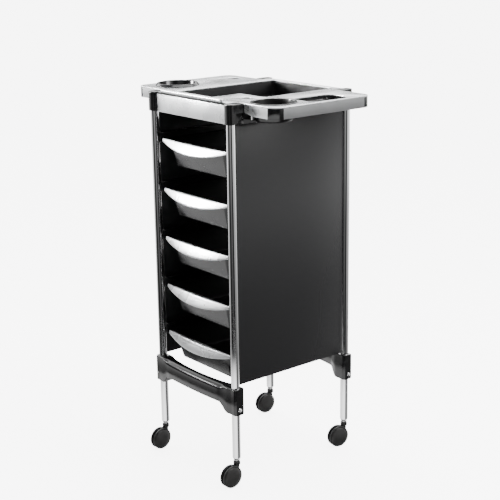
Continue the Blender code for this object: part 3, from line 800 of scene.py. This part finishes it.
def tray_ring(amount, grown, z):
    """Outline of a tub: amount runs from 0 at the rim to 1 at the foot, and grown moves it outwards."""
    half = TUB_HALF - 0.013 * amount + grown
    front = MID_Y - TUB_FRONT + 0.016 * amount - grown
    back = MID_Y + TUB_BACK - 0.006 * amount + grown
    facet = TUB_FACET - 0.006 * amount
    front_r, back_r = 0.0025, 0.009
    points = [(half - facet, front, front_r), (half, front + 0.55 * facet, front_r), (half, back, back_r)]
    mirrored = [(-x, y, r) for x, y, r in points[::-1]]
    return [(x, y, z) for x, y in rounded(points + mirrored, 6)]


def tray(level):
    """Tub with a flat rim whose edge turns down: gloss outside, dull inside, where the darker liner paints the
    shade of the hollow.
    """
    node = "tray_%d" % level
    low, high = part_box(node)
    rim, base = high.z, low.z
    flange, thin = 0.0034, 0.0012
    soft, turn_in = 0.0055, 0.12
    fillet = [math.pi / 2 * k / 6 for k in range(7)]
    inside = [(1 - turn_in * math.sin(a), -WALL - soft * (1 - math.sin(a)),
               base + WALL + soft * (1 - math.cos(a))) for a in fillet]
    rings = inside + [(0.0, -WALL, rim - 0.0008), (0.0, -WALL + 0.0004, rim - 0.0002)]
    rings += [(0.0, -WALL + 0.001, rim)]
    rings += [(0.0, flange - 0.0008, rim), (0.0, flange - 0.0002, rim - 0.0004), (0.0, flange, rim - 0.0011)]
    rings += [(0.0, flange, rim - TRAY_LIP + 0.0004), (0.0, flange - 0.0004, rim - TRAY_LIP)]
    rings += [(0.0, flange - thin, rim - TRAY_LIP), (0.0, flange - thin, rim - thin)]
    rings += [(0.0, 0.0004, rim - thin), (0.02, 0.0, rim - TRAY_LIP)]
    rings += [(1 - turn_in + turn_in * math.sin(a), -soft * (1 - math.cos(a)), base + soft * (1 - math.sin(a)))
              for a in fillet]
    data = bmesh.new()
    made = add_loft(data, [tray_ring(amount, grown, z) for amount, grown, z in rings])
    # The inner faces get the darker liner: painted shade in the tray's hollow.
    set_lining(data, made[:len(inside) + 1])
    piece("tub_%d" % level, data, "tray_%d_body" % level, "black_gloss", [node], BLACK_TUB, SHADED_LINER, sharp=24)


def handle(level):
    """Crescent pull: thin at its ends, deep and leaning out in the middle, with a rolled lower lip."""
    node = "handle_%d" % level
    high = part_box(node)[1]
    top, seat, reach = high.z, high.y, high.x
    end_deep, end_out = 0.0075, 0.0035                      # size of the section at the handle's ends
    more_deep, more_out, lean = 0.0165, 0.0065, 0.0075      # how much it gains by the middle
    steps = 56
    rings = []
    for k in range(steps + 1):
        u = math.sin(math.pi / 2 * (2 * k / steps - 1))
        full = 1 - u * u
        deep = end_deep + more_deep * full
        out = seat - end_out - more_out * full
        foot = out - lean * full - 0.001
        section = [(seat, top - 0.0006)]
        section += arc(out + 0.0016, top - 0.0016, 0.0016, 90, 150, 4)
        for j in range(1, 8):
            s = j / 8
            bulge = 0.0003 * full * math.sin(math.pi * s)
            section.append((out + (foot - out) * s - bulge, top - 0.0020 - (deep - 0.0036) * s))
        section += arc(foot + 0.0014, top - deep + 0.0014, 0.0014, 180, 320, 6)
        section += [(foot + 0.0034, top - deep + 0.0024)]
        section += [(out + (foot - out) * s + 0.0030, top - 0.0040 - (deep - 0.0064) * s)
                    for s in (0.75, 0.5, 0.25)]
        section += [(out + 0.0040, top - 0.0062), (seat, top - 0.0062)]
        rings.append([(reach * u, y, z) for y, z in section])
    data = bmesh.new()
    add_loft(data, rings)
    piece("pull_%d" % level, data, "tray_%d_body" % level, "silver_plastic", [node], SILVER, sharp=45)


# ---------------------------------------------------------------- casters
def joint(name):
    """One joint of the frame."""
    return next(j for j in frame["joints"] if j["name"] == name)


def place(data, stem, yaw):
    """Turn a piece drawn about the origin to its caster's heading, and move it under the stem."""
    bmesh.ops.rotate(data, matrix=Matrix.Rotation(yaw, 3, "Z"), verts=data.verts)
    bmesh.ops.translate(data, vec=(stem[0], stem[1], 0), verts=data.verts)
    return data


def fork(corner, stem, yaw, trail, wheel_r):
    """Plate between the wheels, with an arm and a square neck round the stem."""
    node = "caster_fork_" + corner
    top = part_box(node)[1].z
    neck, web, plate_r, soft = 0.0062, 0.0025, 0.0195, 0.0005
    arm_top, neck_low = 0.0525, 0.0503
    data = bmesh.new()
    plate = [(0, -web), (plate_r - soft, -web), (plate_r, -web + soft), (plate_r, web - soft),
             (plate_r - soft, web), (0, web)]
    add_lathe(data, plate, (0, -trail, wheel_r), 48, "X")
    add_box(data, (-web + 0.0001, -trail, wheel_r + 0.004), (web - 0.0001, neck - 0.0006, arm_top), 0.0006)
    add_box(data, (-neck, -neck, neck_low), (neck, neck, top), 0.0016, 4)
    piece(corner + "_fork", place(data, stem, yaw), "caster_" + corner, "black_gloss", [node], FORK)


def wheel(corner, word, stem, yaw, trail, wheel_r):
    """Domed wheel cover inside a rounded tread, with a parting groove between them."""
    node = "caster_wheel_%s_%s" % (corner, word)
    way = 1 if word == "outer" else -1
    face_in, face_out = 0.0030, 0.0118
    tread, groove, around = 0.0052, wheel_r - 0.0026, 72
    profile = [(0, 0), (wheel_r - 0.0010, 0)]
    profile += arc(wheel_r - 0.0010, 0.0010, 0.0010, -90, 0, 3)[1:]
    profile += arc(wheel_r - 0.0016, tread - 0.0016, 0.0016, 0, 80, 5)
    split = len(profile)
    profile += [(groove + 0.0003, tread - 0.0004), (groove, tread - 0.0009),
                (groove - 0.0005, tread - 0.0002)]
    rise = face_out - face_in - tread
    dome = [(groove - 0.0007) * math.cos(math.pi / 2 * k / 14) for k in range(14)]
    profile += [(r, tread + rise * math.sqrt(1 - (r / groove) ** 2)) for r in dome] + [(0, tread + rise)]
    data = bmesh.new()
    for face in add_lathe(data, profile, (0, 0, 0), around, "X")[around * split:]:
        face.material_index = 1
    if way < 0:
        bmesh.ops.rotate(data, matrix=Matrix.Rotation(math.pi, 3, "Z"), verts=data.verts)
    bmesh.ops.translate(data, vec=(way * face_in, -trail, wheel_r), verts=data.verts)
    piece("%s_%s_wheel" % (corner, word), place(data, stem, yaw), "wheel_%s_%s" % (corner, word),
          "wheel_black", [node], TREAD, HUB)


def caster(corner):
    """Fork and two wheels, placed by the caster's swivel and wheel joints."""
    swivel, spin = joint("swivel_" + corner), joint("spin_%s_outer" % corner)
    stem, axis = Vector(swivel["pos_m"]), Vector(spin["axis"])
    centre = Vector(spin["pos_m"])
    yaw = math.atan2(axis.y, axis.x)
    trail = (centre.xy - stem.xy).length
    fork(corner, stem, yaw, trail, centre.z)
    for word in ("outer", "inner"):
        wheel(corner, word, stem, yaw, trail, centre.z)
    paint(NODES["caster_stem_" + corner], ZINC)
    paint(NODES["caster_axle_" + corner], ZINC)


# ---------------------------------------------------------------- studio
def studio():
    """Pale floor that turns up into a round backdrop, a soft graded surround and broad soft lights."""
    floor_r, bend, wall_top = 22.0, 4.0, 26.0
    near, further = 3.0, 9.0
    profile = [(0, 0), (near, 0), (further, 0), (floor_r - bend, 0)]
    profile += [(floor_r - bend + bend * math.sin(a), bend * (1 - math.cos(a)))
                for a in [math.pi / 2 * k / 8 for k in range(1, 9)]]
    profile += [(floor_r, wall_top)]
    data = bmesh.new()
    add_lathe(data, profile, ring_loop=False)
    mesh = bpy.data.meshes.new("studio_floor")
    data.to_mesh(mesh)
    data.free()
    ground = bpy.data.objects.new("studio_floor", mesh)
    mesh.materials.append(floor_paint("floor_paint"))
    mesh.shade_smooth()
    ground.visible_glossy = False
    ground.visible_diffuse = False
    bpy.context.scene.collection.objects.link(ground)
    surround()
    softbox("key_light", (-1.62, -1.45, 1.28), (0.5, 0.5), 6, (0, -0.15, 1.04), 38)
    softbox("top_light", (0.3, 0.3, 3.0), (2.6, 2.6), 90, (0, 0, 0.45), 160)
    softbox("right_light", (2.0, 1.0, 1.5), (0.9, 0.9), 22, (0, 0, 0.45), 160)


def graded(tree, value, stops):
    """Grey level that runs through (position, level) stops as a value goes from 0 to 1."""
    node = tree.nodes.new("ShaderNodeValToRGB")
    for position, _ in stops[1:-1]:
        node.color_ramp.elements.new(position)
    for element, (position, level) in zip(node.color_ramp.elements, stops):
        element.position = position
        element.color = (level, level, level, 1)
    tree.links.new(value, node.inputs["Fac"])
    return node.outputs["Color"]


def mixed(tree, kind, first, second):
    """Two colours put together, such as by MULTIPLY or ADD."""
    node = tree.nodes.new("ShaderNodeMix")
    node.data_type = "RGBA"
    node.blend_type = kind
    node.inputs["Factor"].default_value = 1.0
    tree.links.new(first, node.inputs["A"])
    tree.links.new(second, node.inputs["B"])
    return node.outputs["Result"]


# Light round the object as (direction, level) stops: by height from -1 below to 1 above, and by heading
# in degrees about Z from +X. The glow is the floor's light, which only comes from below.
SKY_BY_HEIGHT = [(-1.0, 0.05), (-0.55, 0.10), (-0.36, 0.25), (-0.24, 0.85), (-0.13, 2.3), (-0.04, 1.2),
                 (0.02, 0.10), (0.16, 0.08), (0.24, 0.4), (0.32, 3.2), (0.40, 3.6), (0.6, 1.6), (1.0, 1.4)]
SKY_BY_HEADING = [(-180, 2.2), (-166, 1.4), (-156, 0.9), (-134, 0.8), (-124, 0.20), (-110, 0.03), (-84, 0.02),
                  (-66, 0.14), (-44, 0.18), (-30, 0.01), (-8, 0.02), (4, 0.54), (50, 0.60), (60, 1.2),
                  (90, 1.4), (104, 1.3), (180, 2.2)]
GLOW_BY_HEIGHT = [(-1.0, 0.5), (-0.60, 1.4), (-0.42, 2.1), (-0.372, 2.1), (-0.352, 0.0), (1.0, 0.0)]
GLOW_BY_HEADING = [(-180, 0.9), (-110, 0.9), (-70, 1.2), (-14, 1.2), (2, 0.02), (62, 0.02), (84, 0.9),
                   (180, 0.9)]


def surround():
    """World light by direction: each layer is its level by height times its level by heading."""
    world = bpy.data.worlds.new("studio")
    world.use_nodes = True
    tree = world.node_tree
    place = tree.nodes.new("ShaderNodeTexCoord")
    split = tree.nodes.new("ShaderNodeSeparateXYZ")
    tree.links.new(place.outputs["Generated"], split.inputs["Vector"])
    heading = tree.nodes.new("ShaderNodeMath")
    heading.operation = "ARCTAN2"
    tree.links.new(split.outputs["Y"], heading.inputs[0])
    tree.links.new(split.outputs["X"], heading.inputs[1])
    height = remap(tree, split.outputs["Z"], 0, 1, -1, 1)
    around = remap(tree, heading.outputs["Value"], 0, 1, -math.pi, math.pi)
    layers = []
    for by_height, by_heading in ((SKY_BY_HEIGHT, SKY_BY_HEADING), (GLOW_BY_HEIGHT, GLOW_BY_HEADING)):
        upright = graded(tree, height, [((z + 1) / 2, level) for z, level in by_height])
        turning = graded(tree, around, [((angle + 180) / 360, level) for angle, level in by_heading])
        layers.append(mixed(tree, "MULTIPLY", upright, turning))
    total = mixed(tree, "ADD", *layers)
    tree.links.new(total, tree.nodes["Background"].inputs["Color"])
    bpy.context.scene.world = world


def softbox(name, place_at, size, power, target, spread):
    """Area light aimed at a target, with its spread in degrees."""
    light = bpy.data.lights.new(name, "AREA")
    light.shape = "RECTANGLE"
    light.size, light.size_y = size
    light.energy = power
    light.spread = math.radians(spread)
    lamp = bpy.data.objects.new(name, light)
    lamp.location = place_at
    aim = Vector(target) - Vector(place_at)
    lamp.rotation_euler = aim.to_track_quat("-Z", "Y").to_euler()
    bpy.context.scene.collection.objects.link(lamp)


def camera():
    """Camera at the photographed angle: to the right of the front, a little above the top."""
    azimuth, elevation, roll = math.radians(51.01), math.radians(15.45), math.radians(-0.84)
    distance, slide, lift, lens = 2.820, -0.006, 0.047, 85.64
    back = Vector((math.sin(azimuth) * math.cos(elevation), -math.cos(azimuth) * math.cos(elevation),
                   math.sin(elevation)))
    right = Vector((math.cos(azimuth), math.sin(azimuth), 0))
    up = back.cross(right)
    right, up = right * math.cos(roll) + up * math.sin(roll), up * math.cos(roll) - right * math.sin(roll)
    lens_data = bpy.data.cameras.new("camera")
    lens_data.lens, lens_data.sensor_width = lens, 36
    lens_data.clip_end = 60
    view = bpy.data.objects.new("camera", lens_data)
    turn = Matrix((right, up, back)).transposed().to_4x4()
    aim_at = Vector((0, MID_Y, 0.45))
    view.matrix_world = Matrix.Translation(aim_at + back * distance + right * slide + up * lift) @ turn
    bpy.context.scene.collection.objects.link(view)
    bpy.context.scene.camera = view


camera()
studio()
for corner_name in CORNERS:
    post(corner_name)
    ferrule(corner_name)
    socket_screw(corner_name)
    corner_block(corner_name)
    caster(corner_name)
for end_word in ("front", "rear"):
    bottom_rail(end_word)
    band(end_word)
for side_word in ("left", "right"):
    side_panel(side_word)
    side_rail(side_word)
    wing_skirts(side_word)
deck()
basin()
front_lip()
round_cup()
dryer_ring()
tool_dish()
for tray_number in LEVELS:
    tray(tray_number)
    handle(tray_number)
